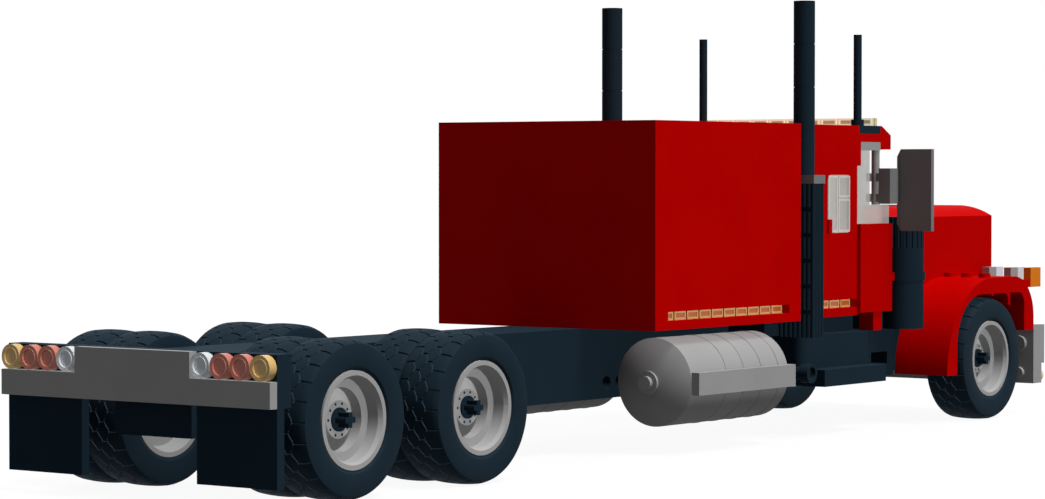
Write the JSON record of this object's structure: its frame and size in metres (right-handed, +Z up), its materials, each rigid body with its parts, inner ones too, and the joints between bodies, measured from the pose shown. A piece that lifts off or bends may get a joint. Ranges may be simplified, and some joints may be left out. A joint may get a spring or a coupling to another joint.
{
  "type": "toy brick truck tractor unit",
  "caption": "Toy long-nose truck tractor unit built of plastic bricks: low frame on twin rear axles, boxy sleeper, cab, long hood, stacks, side tanks and clipped mirrors; it rolls on its wheels",
  "frame": {"origin": "on the ground, under the middle of the model's length and width", "axes": "+X forward along the model, +Y to its left, +Z up"},
  "size_m": [0.4876, 0.1212, 0.1644],
  "materials": {
    "body_red": "moulded brick plastic, bright red, smooth",
    "frame_black": "moulded brick plastic, blue-black, smooth",
    "panel_grey": "moulded brick plastic, medium grey, smooth",
    "rim_grey": "moulded plastic, medium grey, smooth",
    "tyre_rubber": "soft moulded rubber, blue-black",
    "clear_plastic": "clear moulded plastic",
    "lens_clear": "clear moulded plastic",
    "lens_red": "clear red moulded plastic",
    "lens_amber": "clear amber moulded plastic",
    "lens_orange": "clear orange moulded plastic",
    "lens_pale_yellow": "clear pale yellow moulded plastic",
    "turn_orange": "moulded brick plastic, orange"
  },
  "bodies": {
    "chassis": {"frame_rail_right": "frame_black", "frame_rail_left": "frame_black", "rear_deck": "frame_black", "front_deck": "frame_black", "hood_top_plate": "frame_black", "frame_cross_blocks": "frame_black", "rear_board": "frame_black", "mudflaps": "frame_black", "antennas": "frame_black", "exhaust_stacks": "frame_black", "stack_guards": "frame_black", "side_box_right": "frame_black", "side_box_left": "frame_black", "air_cleaners": "frame_black", "rear_bar": "panel_grey", "mirror_posts": "panel_grey", "stack_caps": "panel_grey", "fuel_tank_right": "panel_grey", "fuel_tank_left": "panel_grey", "tank_steps": "panel_grey", "front_bumper": "panel_grey", "grille": "panel_grey", "headlamp_housings": "panel_grey", "body_floor": "body_red", "sleeper_rear_wall": "body_red", "sleeper_side_right": "body_red", "sleeper_side_left": "body_red", "sleeper_roof": "body_red", "cab_side_right": "body_red", "cab_side_left": "body_red", "cab_roof": "body_red", "sun_visor": "body_red", "cab_firewall": "body_red", "door_right": "body_red", "door_left": "body_red", "hood": "body_red", "fender_right": "body_red", "fender_left": "body_red", "side_windows": "clear_plastic", "door_glass": "clear_plastic", "windscreen": "clear_plastic", "rear_lamps_clear": "lens_clear", "headlamp_lenses": "lens_clear", "rear_lamps_red": "lens_red", "rear_lamps_amber": "lens_amber", "marker_lights": "lens_orange", "roof_lights": "lens_pale_yellow", "fog_lamps": "lens_pale_yellow", "turn_signals": "turn_orange"},
    "rear_axle": {"rear_axle_shaft": "frame_black", "rear_axle_rims": "rim_grey", "rear_axle_tyres": "tyre_rubber"},
    "middle_axle": {"middle_axle_shaft": "frame_black", "middle_axle_rims": "rim_grey", "middle_axle_tyres": "tyre_rubber"},
    "front_axle": {"front_axle_shaft": "frame_black", "front_axle_rims": "rim_grey", "front_axle_tyres": "tyre_rubber"},
    "mirror_right": {"mirror_right": "panel_grey"},
    "mirror_left": {"mirror_left": "panel_grey"}
  },
  "joints": [
    {"name": "rear_axle_roll", "type": "hinge", "parent": "chassis", "child": "rear_axle", "pos_m": [-0.2038, 0, 0.02475], "axis": [0, 1, 0], "continuous": true},
    {"name": "middle_axle_roll", "type": "hinge", "parent": "chassis", "child": "middle_axle", "pos_m": [-0.1398, 0, 0.02475], "axis": [0, 1, 0], "continuous": true},
    {"name": "front_axle_roll", "type": "hinge", "parent": "chassis", "child": "front_axle", "pos_m": [0.1992, 0, 0.02475], "axis": [0, 1, 0], "continuous": true},
    {"name": "mirror_right_swing", "type": "hinge", "parent": "chassis", "child": "mirror_right", "pos_m": [0.1362, -0.0378, 0.0935], "axis": [0, 0, -1], "range_deg": [0, 80]},
    {"name": "mirror_left_swing", "type": "hinge", "parent": "chassis", "child": "mirror_left", "pos_m": [0.1362, 0.0378, 0.0935], "axis": [0, 0, 1], "range_deg": [0, 80]}
  ]
}
